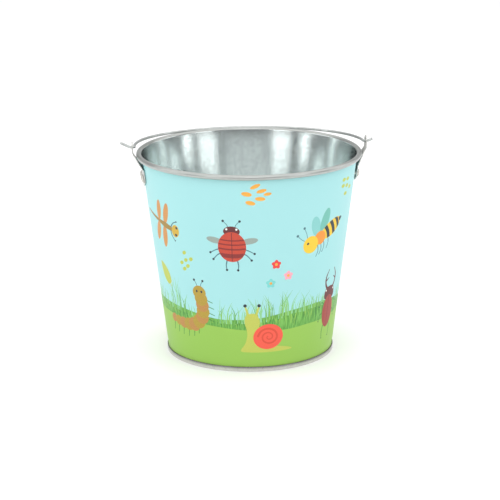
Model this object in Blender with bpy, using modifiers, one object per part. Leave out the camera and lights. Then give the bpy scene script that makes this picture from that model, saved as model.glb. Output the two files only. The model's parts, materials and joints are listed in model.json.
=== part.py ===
"""Child's tinplate sand bucket: a rolled sheet body, a seamed base, two riveted ears and a wire bail.

Metres, +Z up. The origin is on the bucket's axis at the surface it stands on, the ears are on the X axis,
and the bail lies back on the rim towards +Y.
"""
from math import acos, atan2, asin, cos, hypot, pi, radians, sin, sqrt, tan

import bmesh
import bpy
from mathutils import Matrix, Vector

MM = 0.001

# Driving dimensions of the bucket.
HEIGHT = 150 * MM  # standing surface to the top of the rolled rim
RIM_RADIUS = 82.5 * MM  # outside of the rolled rim
FOOT_RADIUS = 61.8 * MM  # outside of the base seam
SHEET = 0.4 * MM  # tinplate thickness
GAP = 0.3 * MM  # running and resting clearance between pieces
TURN_STEPS = 64  # facets round the bucket

# Rolled rim.
BEAD_RADIUS = 1.9 * MM  # cross-section of the roll
BEAD_END_ANGLE = radians(-135)  # where the roll stops, short of the wall
BEAD_STEPS = 14
BEAD_CENTRE = Vector((RIM_RADIUS - BEAD_RADIUS, HEIGHT - BEAD_RADIUS))
RIM_WIRE_RADIUS = BEAD_RADIUS - SHEET - GAP

# Base and its seam.
SEAM_HEIGHT = 3.7 * MM
SEAM_SHEET = 0.45 * MM
SEAM_CORNER = 0.3 * MM
BASE_RECESS = 3.2 * MM  # standing surface to the underside of the base
WALL_BOTTOM = SEAM_SHEET + GAP
RIB_RADIUS = 50 * MM  # pressed stiffening ring in the base
RIB_WIDTH = 5 * MM
RIB_HEIGHT = 0.8 * MM

# Vertical lock seam where the body sheet's two edges meet.
LOCK_WIDTH = 5 * MM
LOCK_THICKNESS = 0.8 * MM
LOCK_ENDS = (4.6 * MM, 145.4 * MM)

# Ears. Heights are above the standing surface; the sheet follows the wall, then leans out past the rim.
EAR_SHEET = 0.8 * MM
EAR_BOTTOM = 124.6 * MM
EAR_LIP = 0.5 * MM  # the bottom tip stands off by this much
EAR_LIP_HEIGHT = 2.5 * MM
EAR_BEND = 138.6 * MM
EAR_SHOULDER = 150.2 * MM
EAR_TAB_REACH = 85.3 * MM  # middle of the tab's sheet from the bucket's axis
EAR_TAB_RADIUS = 4.2 * MM
EAR_HALF_WIDTH = 12.5 * MM
EAR_NECK = 147.5 * MM
EAR_SWEEP = radians(11)  # the blank reaches this far each side before it is cut to shape
EAR_SWEEP_STEPS = 8
RIGHT_EAR_LIFT = LOCK_THICKNESS + 0.2 * MM  # the right ear stands on the lock seam
PIVOT_HEIGHT = 154.6 * MM
PIVOT_HOLE_RADIUS = 2.0 * MM

# Rivets, two to an ear.
RIVET_HEIGHT = 132.6 * MM
RIVET_OFFSET = 7 * MM  # sideways from the ear's middle
RIVET_SHANK_RADIUS = 1.5 * MM
RIVET_HEAD_RADIUS = 3.2 * MM
RIVET_HEAD_HEIGHT = 1.5 * MM
RIVET_TAIL_RADIUS = 2.6 * MM
RIVET_TAIL_HEIGHT = 0.7 * MM
RIVET_STEPS = 16

# Bail: a wire bow whose ends turn out through the ears.
WIRE_RADIUS = 1.05 * MM
BAIL_DEPTH = 83.8 * MM  # pivot axis to the middle of the bow
BOW_INSET = 1.75 * MM  # the bow runs this far inside the tab's middle
BOW_STEPS = 60
HOOK_BEND_RADIUS = 1.8 * MM
STUB_BEND = 1.7 * MM  # the stub starts to rise this far outside the tab's middle
STUB_BEND_RADIUS = 3 * MM
LEFT_STUB = (-93.9 * MM, 3.3 * MM)  # tip of the stub: reach along X, rise above the pivot
RIGHT_STUB = (91.2 * MM, 1.4 * MM)

# Colour, roughness, metallic value.
PRINT_BLUE = ((0.43, 0.85, 0.86), 0.35, 0.2)
TIN = ((0.62, 0.64, 0.64), 0.32, 1.0)
RIM_STEEL = ((0.55, 0.56, 0.55), 0.4, 1.0)
EAR_STEEL = ((0.5, 0.5, 0.49), 0.38, 1.0)
RIVET_STEEL = ((0.66, 0.65, 0.6), 0.35, 1.0)
BAIL_STEEL = ((0.52, 0.54, 0.54), 0.3, 1.0)


# The inside of the wall is a straight line from the foot, tangent to the rolled rim.
FOOT_INSIDE = Vector((FOOT_RADIUS - SEAM_SHEET - GAP - SHEET, SEAM_HEIGHT))
FOOT_TO_BEAD = BEAD_CENTRE - FOOT_INSIDE
WALL_TILT = atan2(FOOT_TO_BEAD.x, FOOT_TO_BEAD.y) - asin(BEAD_RADIUS / FOOT_TO_BEAD.length)


def wall_radius(height):
    """Radius of the wall's outer surface at a height."""
    return FOOT_INSIDE.x + SHEET / cos(WALL_TILT) + (height - FOOT_INSIDE.y) * tan(WALL_TILT)


def clear_scene():
    for old in list(bpy.data.objects):
        bpy.data.objects.remove(old, do_unlink=True)


def make_collection(name):
    collection = bpy.data.collections.new(name)
    bpy.context.scene.collection.children.link(collection)
    return collection


def make_material(name, finish):
    colour, roughness, metallic = finish
    material = bpy.data.materials.new(name)
    material.use_nodes = True
    shader = material.node_tree.nodes["Principled BSDF"]
    shader.inputs["Base Color"].default_value = (*colour, 1)
    shader.inputs["Roughness"].default_value = roughness
    shader.inputs["Metallic"].default_value = metallic
    return material


def add_part(name, data, finish):
    part = bpy.data.objects.new(name, data)
    data.materials.append(make_material(name, finish))
    PARTS.objects.link(part)
    return part


def add_cutter(name, data):
    cutter = bpy.data.objects.new(name, data)
    cutter.hide_render = True
    cutter.display_type = "WIRE"
    CUTTERS.objects.link(cutter)
    return cutter


def add_boolean(part, operation, cutter):
    boolean = part.modifiers.new(operation.title(), "BOOLEAN")
    boolean.operation = operation
    boolean.object = cutter
    boolean.solver = "EXACT"


def rounded(corners, steps, closed=False):
    """Path through (point, radius) corners, with an arc of that radius at each; works in 2D and 3D."""
    path = []
    last = len(corners) - 1
    for index, (corner, radius) in enumerate(corners):
        if radius == 0 or (not closed and index in (0, last)):
            path.append(corner)
            continue
        back = (corners[index - 1][0] - corner).normalized()
        ahead = (corners[(index + 1) % len(corners)][0] - corner).normalized()
        half_angle = back.angle(ahead) / 2
        centre = corner + (back + ahead).normalized() * radius / sin(half_angle)
        start = corner + back * radius / tan(half_angle) - centre
        end = corner + ahead * radius / tan(half_angle) - centre
        turn = start.angle(end)
        for step in range(steps + 1):
            swung = turn * step / steps
            path.append(centre + (start * sin(turn - swung) + end * sin(swung)) / sin(turn))
    return path


def thickened(path, thickness):
    """Closed outline of a strip of even thickness along a 2D path."""
    sides = []
    for index, point in enumerate(path):
        before = path[max(index - 1, 0)]
        after = path[min(index + 1, len(path) - 1)]
        along = (after - before).normalized()
        across = Vector((along.y, -along.x)) * thickness / 2
        sides.append((point + across, point - across))
    return [side[0] for side in sides] + [side[1] for side in reversed(sides)]


def arc(centre, radius, start, end, steps):
    """Points on a circle from one angle to the other."""
    angles = [start + (end - start) * step / steps for step in range(steps + 1)]
    return [centre + Vector((cos(angle), sin(angle))) * radius for angle in angles]


def turned(name, outline, closed, steps):
    """Mesh of a profile for a Screw modifier, (radius, height) points running down the outer side."""
    count = len(outline)
    edges = [(index, index + 1) for index in range(count - 1)]
    if closed:
        edges.append((count - 1, 0))
    mesh = bpy.data.meshes.new(name)
    mesh.from_pydata([(point.x, 0, point.y) for point in outline], edges, [])

    def add_screw(part):
        screw = part.modifiers.new("Turn", "SCREW")
        screw.axis = "Z"
        screw.steps = steps
        screw.render_steps = steps
        screw.use_merge_vertices = True
        screw.merge_threshold = 0.01 * MM
        screw.use_smooth_shade = True

    return mesh, add_screw


def ring_mesh(name, radius, height, tube_radius, sides):
    """Mesh of a torus standing on the bucket's axis."""
    bpy.ops.mesh.primitive_torus_add(
        major_radius=radius,
        minor_radius=tube_radius,
        major_segments=TURN_STEPS,
        minor_segments=sides,
        location=(0, 0, 0),
    )
    torus = bpy.context.object
    mesh = torus.data
    mesh.name = name
    mesh.transform(Matrix.Translation((0, 0, height)))
    bpy.data.objects.remove(torus)
    return mesh


def cylinder_mesh(name, radius, length, sides):
    """Cylinder round the local Z axis, centred on the origin."""
    shape = bmesh.new()
    bmesh.ops.create_cone(
        shape, cap_ends=True, segments=sides, radius1=radius, radius2=radius, depth=length
    )
    mesh = bpy.data.meshes.new(name)
    shape.to_mesh(mesh)
    shape.free()
    return mesh


def outline_prism(name, outline, half_depth):
    """Mesh of a flat (Y, Z) outline extruded both ways along X."""
    curve = bpy.data.curves.new(name, "CURVE")
    curve.dimensions = "2D"
    curve.fill_mode = "BOTH"
    curve.extrude = half_depth
    spline = curve.splines.new("POLY")
    spline.points.add(len(outline) - 1)
    for place, point in zip(spline.points, outline):
        place.co = (point.x, point.y, 0, 1)
    spline.use_cyclic_u = True
    flat = bpy.data.objects.new(name, curve)
    CUTTERS.objects.link(flat)
    bpy.context.view_layer.update()
    evaluated = flat.evaluated_get(bpy.context.evaluated_depsgraph_get())
    mesh = bpy.data.meshes.new_from_object(evaluated)
    bpy.data.objects.remove(flat)
    shape = bmesh.new()
    shape.from_mesh(mesh)
    bmesh.ops.remove_doubles(shape, verts=shape.verts[:], dist=0.001 * MM)
    bmesh.ops.recalc_face_normals(shape, faces=shape.faces[:])
    shape.to_mesh(mesh)
    shape.free()
    # The curve's X, Y and Z become the ear's Y, Z and X.
    mesh.transform(Matrix(((0, 0, 1, 0), (1, 0, 0, 0), (0, 1, 0, 0), (0, 0, 0, 1))))
    return mesh


def wall_outline():
    """Section of the body sheet: down the outside, up the inside, then round the rolled rim and back."""
    start = pi - WALL_TILT
    inner = BEAD_RADIUS - SHEET
    foot_outside = Vector((wall_radius(WALL_BOTTOM), WALL_BOTTOM))
    foot_inside = foot_outside - Vector((SHEET / cos(WALL_TILT), 0))
    roll_out = arc(BEAD_CENTRE, BEAD_RADIUS, start, BEAD_END_ANGLE, BEAD_STEPS)
    roll_back = arc(BEAD_CENTRE, inner, BEAD_END_ANGLE, start, BEAD_STEPS)
    return [foot_outside, foot_inside, *roll_out, *roll_back]


def lock_seam_mesh():
    """Flat strip on the +X side that lies along the wall and sinks a little into it."""
    low, high = LOCK_ENDS
    sunk = SHEET / 2
    shape = bmesh.new()
    bmesh.ops.create_cube(shape, size=1)
    length = (high - low) / cos(WALL_TILT)
    size = (LOCK_THICKNESS + sunk, LOCK_WIDTH, length)
    middle = (low + high) / 2
    place = Vector((wall_radius(middle) + (LOCK_THICKNESS - sunk) / 2 / cos(WALL_TILT), 0, middle))
    tilt = Matrix.Rotation(WALL_TILT, 4, "Y")
    bmesh.ops.transform(
        shape, matrix=Matrix.Translation(place) @ tilt @ Matrix.Diagonal((*size, 1)), verts=shape.verts[:]
    )
    mesh = bpy.data.meshes.new("lock_seam")
    shape.to_mesh(mesh)
    shape.free()
    return mesh


def wall_normal(angle):
    """Matrix that turns local +Z to the wall's outward normal at an angle round the bucket."""
    return Matrix.Rotation(angle, 4, "Z") @ Matrix.Rotation(pi / 2 + WALL_TILT, 4, "Y")


def rivet_angles():
    """Name and angle round the bucket of each rivet."""
    swing = asin(RIVET_OFFSET / wall_radius(RIVET_HEIGHT))
    return {
        "rivet_right_front": -swing,
        "rivet_right_back": swing,
        "rivet_left_front": pi + swing,
        "rivet_left_back": pi - swing,
    }


def rivet_place(angle):
    """Where a rivet's axis leaves the wall's outer surface, turned to the surface's normal."""
    radius = wall_radius(RIVET_HEIGHT)
    spot = Matrix.Translation((radius * cos(angle), radius * sin(angle), RIVET_HEIGHT))
    return spot @ wall_normal(angle)


def add_rivet_holes(part, names):
    """Cut the clearance hole of each named rivet through a sheet."""
    angles = rivet_angles()
    radius = RIVET_SHANK_RADIUS + GAP
    for name in names:
        drill = add_cutter(f"drill_{part.name}_{name}", cylinder_mesh("drill", radius, 8 * MM, RIVET_STEPS))
        drill.matrix_world = rivet_place(angles[name])
        add_boolean(part, "DIFFERENCE", drill)


def make_body_wall():
    """Printed body sheet with its rolled rim and lock seam."""
    mesh, add_screw = turned("body_wall", wall_outline(), True, TURN_STEPS)
    wall = add_part("body_wall", mesh, PRINT_BLUE)
    add_screw(wall)
    add_boolean(wall, "UNION", add_cutter("lock_seam", lock_seam_mesh()))
    add_rivet_holes(wall, rivet_angles())


def make_rim_wire():
    """Wire ring inside the rolled rim."""
    mesh = ring_mesh("rim_wire", BEAD_CENTRE.x, BEAD_CENTRE.y, RIM_WIRE_RADIUS, 8)
    add_part("rim_wire", mesh, RIM_STEEL)


def base_outline():
    """Section of the base: the recessed disc, then the channel that grips the wall's lower edge."""
    top = BASE_RECESS + SHEET
    skin = SEAM_SHEET
    lip_inside = FOOT_RADIUS - skin
    hem_inside = wall_radius(WALL_BOTTOM) - SHEET / cos(WALL_TILT) - GAP
    half_rib = RIB_WIDTH / 2
    ramp = RIB_WIDTH / 5
    ring = [
        (RIB_RADIUS - half_rib, 0),
        (RIB_RADIUS - half_rib + ramp, RIB_HEIGHT),
        (RIB_RADIUS + half_rib - ramp, RIB_HEIGHT),
        (RIB_RADIUS + half_rib, 0),
    ]
    corners = [(0, top, 0)]
    corners += [(radius, top + rise, 0) for radius, rise in ring]
    corners += [
        (hem_inside, top, SEAM_CORNER),
        (hem_inside, skin, 0),
        (lip_inside, skin, 0),
        (lip_inside, SEAM_HEIGHT, 0),
        (FOOT_RADIUS, SEAM_HEIGHT, SEAM_CORNER / 2),
        (FOOT_RADIUS, 0, SEAM_CORNER),
        (hem_inside - skin, 0, SEAM_CORNER),
        (hem_inside - skin, BASE_RECESS, 0),
    ]
    corners += [(radius, BASE_RECESS + rise, 0) for radius, rise in reversed(ring)]
    corners.append((0, BASE_RECESS, 0))
    return rounded([(Vector((x, y)), radius) for x, y, radius in corners], 2)


def make_base():
    mesh, add_screw = turned("base_disc", base_outline(), False, TURN_STEPS)
    add_screw(add_part("base_disc", mesh, TIN))


def ear_section(lift):
    """Section of an ear's sheet, (radius, height): up the wall, out past the rim, then upright."""
    offset = GAP + EAR_SHEET / 2 + lift

    def beside_wall(height, extra=0):
        return Vector((wall_radius(height) + offset + extra, height))

    reach = EAR_TAB_REACH + lift
    top = PIVOT_HEIGHT + EAR_TAB_RADIUS + 1 * MM
    corners = [
        (beside_wall(EAR_BOTTOM - 1 * MM, EAR_LIP), 0),
        (beside_wall(EAR_BOTTOM + EAR_LIP_HEIGHT), 3 * MM),
        (beside_wall(EAR_BEND), 4 * MM),
        (Vector((reach, EAR_SHOULDER)), 4 * MM),
        (Vector((reach, top)), 0),
    ]
    return thickened(rounded(corners, 5), EAR_SHEET)


def ear_blank_mesh(name, lift):
    """The ear's section swept a little way round the bucket's axis, on the +X side."""
    start = Matrix.Rotation(-EAR_SWEEP, 3, "Z")
    shape = bmesh.new()
    ring = [shape.verts.new(start @ Vector((point.x, 0, point.y))) for point in ear_section(lift)]
    shape.faces.new(ring)
    bmesh.ops.spin(
        shape,
        geom=shape.faces[:] + shape.edges[:] + shape.verts[:],
        axis=(0, 0, 1),
        cent=(0, 0, 0),
        angle=2 * EAR_SWEEP,
        steps=EAR_SWEEP_STEPS,
    )
    bmesh.ops.holes_fill(shape, edges=[edge for edge in shape.edges if edge.is_boundary])
    bmesh.ops.recalc_face_normals(shape, faces=shape.faces[:])
    mesh = bpy.data.meshes.new(name)
    shape.to_mesh(mesh)
    shape.free()
    return mesh


def ear_outline():
    """Front view of an ear, (sideways, height): a round tab on a neck that widens to a shield."""
    half = [
        (EAR_TAB_RADIUS, PIVOT_HEIGHT + EAR_TAB_RADIUS, 0.999 * EAR_TAB_RADIUS),
        (EAR_TAB_RADIUS, EAR_NECK, 6 * MM),
        (EAR_HALF_WIDTH, EAR_BEND + 1 * MM, 3 * MM),
        (EAR_HALF_WIDTH, EAR_BOTTOM + 6 * MM, 5 * MM),
    ]
    tip = [(0, EAR_BOTTOM, 8 * MM)]
    other = [(-x, y, radius) for x, y, radius in reversed(half)]
    corners = half + tip + other
    return rounded([(Vector((x, y)), radius) for x, y, radius in corners], 6, closed=True)


def make_ear(name, turn, lift, rivets):
    """A stamped ear with its pivot hole and two rivet holes."""
    ear = add_part(name, ear_blank_mesh(name, lift), EAR_STEEL)
    ear.rotation_euler.z = turn
    stamp = add_cutter(f"stamp_{name}", outline_prism("stamp", ear_outline(), 12 * MM))
    reach = EAR_TAB_REACH * (1 if turn == 0 else -1)
    stamp.location.x = reach
    stamp.rotation_euler.z = turn
    add_boolean(ear, "INTERSECT", stamp)
    drill = add_cutter(f"pivot_{name}", cylinder_mesh("pivot", PIVOT_HOLE_RADIUS, 8 * MM, 20))
    drill.location = (reach, 0, PIVOT_HEIGHT)
    drill.rotation_euler.y = pi / 2
    add_boolean(ear, "DIFFERENCE", drill)
    add_rivet_holes(ear, rivets)


def rivet_outline(lift):
    """Section of a rivet, (radius, distance out from the wall's surface)."""
    seat = GAP + lift + EAR_SHEET + GAP
    tail = -SHEET - GAP
    sphere = (RIVET_HEAD_RADIUS**2 + RIVET_HEAD_HEIGHT**2) / (2 * RIVET_HEAD_HEIGHT)
    centre = Vector((0, seat + RIVET_HEAD_HEIGHT - sphere))
    edge = asin((seat - centre.y) / sphere)
    dome = arc(centre, sphere, pi / 2, edge, 5)
    stem = [
        (RIVET_SHANK_RADIUS, seat),
        (RIVET_SHANK_RADIUS, tail),
        (RIVET_TAIL_RADIUS, tail),
        (0.8 * RIVET_TAIL_RADIUS, tail - RIVET_TAIL_HEIGHT),
        (0, tail - RIVET_TAIL_HEIGHT),
    ]
    return dome + [Vector(point) for point in stem]


def make_rivets():
    for name, angle in rivet_angles().items():
        lift = RIGHT_EAR_LIFT if "right" in name else 0
        mesh, add_screw = turned(name, rivet_outline(lift), False, RIVET_STEPS)
        rivet = add_part(name, mesh, RIVET_STEEL)
        add_screw(rivet)
        rivet.matrix_world = rivet_place(angle)


def bail_rest_angle():
    """How far the bow hangs below level when its middle lies on the back of the rolled rim."""
    drop = PIVOT_HEIGHT - BEAD_CENTRE.y
    to_bead = hypot(BEAD_CENTRE.x, drop)
    apart = BEAD_RADIUS + WIRE_RADIUS + GAP
    between = acos((BAIL_DEPTH**2 + to_bead**2 - apart**2) / (2 * BAIL_DEPTH * to_bead))
    return atan2(drop, BEAD_CENTRE.x) - between


def bail_path():
    """Centre line of the bail in its own plane, X along the pivot axis and Y towards the bow."""
    left = -EAR_TAB_REACH
    right = EAR_TAB_REACH + RIGHT_EAR_LIFT
    left_bow = left + BOW_INSET
    right_bow = right - BOW_INSET
    middle = (left_bow + right_bow) / 2
    half_span = (right_bow - left_bow) / 2
    corners = [
        (Vector((LEFT_STUB[0], 0, LEFT_STUB[1])), 0),
        (Vector((left - STUB_BEND, 0, 0)), STUB_BEND_RADIUS),
        (Vector((left_bow, 0, 0)), HOOK_BEND_RADIUS),
    ]
    for step in range(1, BOW_STEPS):
        angle = pi * (1 - step / BOW_STEPS)
        corners.append((Vector((middle + half_span * cos(angle), BAIL_DEPTH * sin(angle), 0)), 0))
    corners += [
        (Vector((right_bow, 0, 0)), HOOK_BEND_RADIUS),
        (Vector((right + STUB_BEND, 0, 0)), STUB_BEND_RADIUS),
        (Vector((RIGHT_STUB[0], 0, RIGHT_STUB[1])), 0),
    ]
    return rounded(corners, 4)


def make_bail():
    """Wire bail on its hinge axis, lying back on the rim."""
    curve = bpy.data.curves.new("bail", "CURVE")
    curve.dimensions = "3D"
    curve.bevel_depth = WIRE_RADIUS
    curve.bevel_resolution = 2
    curve.use_fill_caps = True
    path = bail_path()
    spline = curve.splines.new("POLY")
    spline.points.add(len(path) - 1)
    for place, point in zip(spline.points, path):
        place.co = (*point, 1)
    bail = add_part("bail", curve, BAIL_STEEL)
    bail.location.z = PIVOT_HEIGHT
    bail.rotation_euler.x = -bail_rest_angle()


clear_scene()
PARTS = make_collection("sand_bucket")
CUTTERS = make_collection("cutters")
make_body_wall()
make_rim_wire()
make_base()
make_ear("ear_right", 0, RIGHT_EAR_LIFT, ("rivet_right_front", "rivet_right_back"))
make_ear("ear_left", pi, 0, ("rivet_left_front", "rivet_left_back"))
make_rivets()
make_bail()
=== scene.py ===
"""Looks of the tinplate sand bucket: printed wall, bare tin inside, ears, rivets, bail and studio."""
import json
import random
from bisect import bisect_right
from math import acos, asin, atan2, cos, hypot, pi, radians, sin, tan

import bmesh
import bpy
from mathutils import Matrix, Vector
from mathutils.geometry import delaunay_2d_cdt


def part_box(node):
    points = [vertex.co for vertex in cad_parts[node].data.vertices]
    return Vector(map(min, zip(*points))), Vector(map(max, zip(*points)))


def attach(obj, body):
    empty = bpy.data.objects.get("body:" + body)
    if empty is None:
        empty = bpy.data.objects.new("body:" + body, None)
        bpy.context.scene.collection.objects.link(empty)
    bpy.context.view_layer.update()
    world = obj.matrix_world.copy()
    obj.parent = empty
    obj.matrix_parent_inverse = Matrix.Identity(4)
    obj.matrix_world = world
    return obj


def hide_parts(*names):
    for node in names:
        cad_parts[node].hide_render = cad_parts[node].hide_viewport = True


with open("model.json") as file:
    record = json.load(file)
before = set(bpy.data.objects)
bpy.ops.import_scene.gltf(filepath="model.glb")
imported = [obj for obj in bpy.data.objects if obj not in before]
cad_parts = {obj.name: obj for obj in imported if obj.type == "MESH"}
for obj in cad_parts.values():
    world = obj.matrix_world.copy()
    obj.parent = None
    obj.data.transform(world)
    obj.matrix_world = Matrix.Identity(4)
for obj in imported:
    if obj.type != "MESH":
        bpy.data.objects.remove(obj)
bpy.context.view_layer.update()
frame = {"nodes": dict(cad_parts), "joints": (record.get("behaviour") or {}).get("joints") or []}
scene = bpy.context.scene

MM = 0.001

# ---------------- sizes, in millimetres
WALL_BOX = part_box("body_wall")
RIM_RADIUS = WALL_BOX[1].x / MM
HEIGHT = WALL_BOX[1].z / MM
WALL_BOTTOM = WALL_BOX[0].z / MM
FOOT_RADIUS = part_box("base_disc")[1].x / MM
PIVOT_HEIGHT = frame["joints"][0]["pos_m"][2] / MM

SHEET = 0.4
GAP = 0.3
BEAD_RADIUS = 1.9
BEAD_X = RIM_RADIUS - BEAD_RADIUS
BEAD_Z = HEIGHT - BEAD_RADIUS
BEAD_END = radians(-135)
BEAD_INSIDE_STEPS = 24
BEAD_STEPS = 40

SEAM_HEIGHT = 3.7
SEAM_SHEET = 0.45
BASE_RECESS = 3.2
RIB_RADIUS = 50
RIB_WIDTH = 5
RIB_HEIGHT = 0.8

LOCK_HALF_WIDTH = 2.5
LOCK_THICKNESS = 0.78
LOCK_EDGE = 0.45
LOCK_LOW = 4.8
LOCK_HIGH = 145.2

EAR_SHEET = 0.8
EAR_TAB_REACH = 85.3
EAR_TAB_RADIUS = 4.2
EAR_BOTTOM = 124.6
EAR_LIP = 0.5  # the bottom tip stands off by this much
EAR_LIP_HEIGHT = 2.5
EAR_BEND = 138.6
EAR_SHOULDER = 150.2
EAR_HALF_WIDTH = 12.5
RIGHT_EAR_LIFT = 1.0
PIVOT_HOLE = 2.0
EAR_NECK = 147.5
RIVET_HEIGHT = 132.6
RIVET_OFFSET = 7
RIVET_HOLE = 1.8
RIVET_SHANK = 1.5
RIVET_HEAD_RADIUS = 3.2
RIVET_HEAD_RISE = 1.5

WIRE_RADIUS = 1.05
WIRE_SLACK = 0.02  # the bail is drawn this much thinner than its CAD shape
BAIL_DEPTH = 83.8
BOW_INSET = 1.75  # the bow runs this far inside the ears
BOW_STEPS = 60
STUB_BEND = 1.7  # and the stubs rise from this far outside them
LEFT_STUB = (-93.9, 3.3)  # tip: reach along X, rise above the pivot
RIGHT_STUB = (91.2, 1.4)

COLUMNS = 288  # facets round the wall
GRID = 3.0  # spacing of the plain part of the printed surface
SHEET_RADIUS = 70  # the flat sheet's width is measured at this radius

# The inside of the wall is straight from the foot to the rolled rim, and tangent to it.
FOOT_INSIDE = FOOT_RADIUS - SEAM_SHEET - GAP - SHEET
FOOT_TO_BEAD = Vector((BEAD_X - FOOT_INSIDE, BEAD_Z - SEAM_HEIGHT))
TILT = atan2(FOOT_TO_BEAD.x, FOOT_TO_BEAD.y) - asin(BEAD_RADIUS / FOOT_TO_BEAD.length)
WALL_TOP = BEAD_Z + (BEAD_RADIUS - SHEET) * sin(pi - TILT)


def wall_radius(height):
    """Radius of the wall's outer surface."""
    return FOOT_INSIDE + SHEET / cos(TILT) + (height - SEAM_HEIGHT) * tan(TILT)


def swung(radius, height, angle):
    """Point of a section, swung round the Z axis."""
    return Vector((radius * cos(angle), radius * sin(angle), height))


def full_turn(steps):
    """Even angles round a circle."""
    return [2 * pi * step / steps for step in range(steps)]


# ---------------- node materials
class Nodes:
    """A new material's node tree, with short calls for the nodes used here."""

    def __init__(self, name):
        self.material = bpy.data.materials.new(name)
        self.material.use_nodes = True
        self.tree = self.material.node_tree

    def feed(self, node, inputs):
        """Set each input to its constant, or link it to the socket given."""
        for name, value in inputs.items():
            if isinstance(value, bpy.types.NodeSocket):
                self.tree.links.new(value, node.inputs[name])
            else:
                node.inputs[name].default_value = value

    def add(self, kind, inputs, **settings):
        node = self.tree.nodes.new(f"ShaderNode{kind}")
        for name, value in settings.items():
            setattr(node, name, value)
        self.feed(node, inputs)
        return node

    def coordinates(self, scale=(1, 1, 1), uv=False):
        """Object or sheet coordinates, stretched by a scale on each axis."""
        if uv:
            start = self.add("UVMap", {}, uv_map="sheet").outputs["UV"]
        else:
            start = self.add("TexCoord", {}).outputs["Object"]
        return self.add("Mapping", {"Vector": start, "Scale": scale}).outputs["Vector"]

    def noise(self, vector, scale, detail, roughness=0.5):
        inputs = {"Vector": vector, "Scale": scale, "Detail": detail, "Roughness": roughness}
        return self.add("TexNoise", inputs).outputs["Fac"]

    def spread(self, value, low, high, to_low, to_high):
        inputs = {"Value": value, "From Min": low, "From Max": high, "To Min": to_low, "To Max": to_high}
        return self.add("MapRange", inputs).outputs["Result"]

    def mix(self, factor, first, second):
        """Mix of two colours; each is a colour or a socket."""
        inputs = {0: factor}
        for index, colour in ((6, first), (7, second)):
            inputs[index] = (*colour, 1) if isinstance(colour, tuple) else colour
        return self.add("Mix", inputs, data_type="RGBA").outputs[2]

    def bump(self, height, strength, distance, normal=None):
        inputs = {"Height": height, "Strength": strength, "Distance": distance}
        if normal is not None:
            inputs["Normal"] = normal
        return self.add("Bump", inputs).outputs["Normal"]

    def finish(self, inputs):
        """The material, with its surface shader's inputs set or linked."""
        self.feed(self.tree.nodes["Principled BSDF"], inputs)
        return self.material


def srgb(red, green, blue):
    """Linear colour from 0-255 display values."""
    return tuple(
        value / 12.92 if value <= 0.04045 else ((value + 0.055) / 1.055) ** 2.4
        for value in (red / 255, green / 255, blue / 255)
    )


def shade(colour, factor):
    return tuple(min(1, value * factor) for value in colour)


# Inks of the print: red, green and blue on the display, and how mottled it is printed.
INKS = {
    "sky": (164, 218, 219, 0.02),
    "ground": (150, 194, 86, 0.05),
    "grass_band": (94, 156, 68, 0.12),
    "blade_light": (138, 194, 100, 0.08),
    "blade_pale": (144, 206, 150, 0.05),
    "blade_dark": (74, 138, 62, 0.1),
    "straw": (240, 172, 74, 0.08),
    "lime": (186, 198, 86, 0.1),
    "amber": (206, 146, 84, 0.14),
    "amber_dark": (160, 130, 66, 0.16),
    "honey": (206, 170, 66, 0.1),
    "grey_wing": (152, 166, 158, 0.14),
    "mint_wing": (136, 202, 198, 0.06),
    "mint_wing_dark": (116, 188, 174, 0.06),
    "brick": (196, 74, 56, 0.16),
    "brick_dark": (140, 54, 50, 0.2),
    "soot": (52, 60, 66, 0.12),
    "slate": (76, 116, 126, 0.12),
    "paper": (244, 244, 236, 0.02),
    "sun": (240, 200, 60, 0.1),
    "orange": (240, 152, 64, 0.12),
    "poppy": (234, 70, 66, 0.08),
    "rose": (246, 168, 182, 0.08),
    "lagoon": (124, 208, 204, 0.05),
    "ochre": (180, 152, 62, 0.26),
    "ochre_warm": (188, 138, 76, 0.24),
    "pear": (192, 198, 92, 0.12),
    "coral": (240, 94, 76, 0.1),
    "coral_dark": (220, 80, 62, 0.12),
    "maroon": (164, 70, 62, 0.22),
    "maroon_dark": (104, 50, 52, 0.2),
}


def ink_material(name):
    """Ink under a satin varnish on tinplate: mottled ink, rolling marks and fine scuffs."""
    *display, mottle = INKS[name]
    colour = srgb(*display)
    nodes = Nodes(f"ink_{name}")
    sheet = nodes.coordinates(uv=True)
    grain = nodes.noise(sheet, 2.2, 5, 0.65)
    drift = nodes.noise(nodes.coordinates((0.03, 0.03, 0.03), uv=True), 1, 2)
    grained = nodes.spread(grain, 0.35, 0.65, 0, 1)
    deep = nodes.mix(grained, shade(colour, 1 - mottle), shade(colour, 1 + mottle * 0.7))
    if name == "grass_band":
        fibre = nodes.noise(nodes.coordinates((0.9, 0.09, 1), uv=True), 1, 4, 0.6)
        deep = nodes.mix(nodes.spread(fibre, 0.45, 0.62, 0, 1), deep, srgb(128, 192, 92))
    tinted = nodes.mix(nodes.spread(drift, 0.3, 0.7, 0, 0.1), deep, shade(colour, 0.86))
    scuffs = nodes.noise(nodes.coordinates((0.5, 0.02, 1), uv=True), 3, 4, 0.7)
    roughness = nodes.spread(scuffs, 0.3, 0.7, 0.4, 0.54)
    waves = nodes.noise(nodes.coordinates((18, 18, 9)), 1.4, 1)
    peel = nodes.noise(sheet, 0.9, 2)
    normal = nodes.bump(waves, 0.35, 0.0006)
    normal = nodes.bump(peel, 0.05, 0.00005, normal)
    return nodes.finish({"Base Color": tinted, "Roughness": roughness, "Normal": normal,
                         "Specular IOR Level": 0.3, "Coat Weight": 0.06, "Coat Roughness": 0.2})


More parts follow.
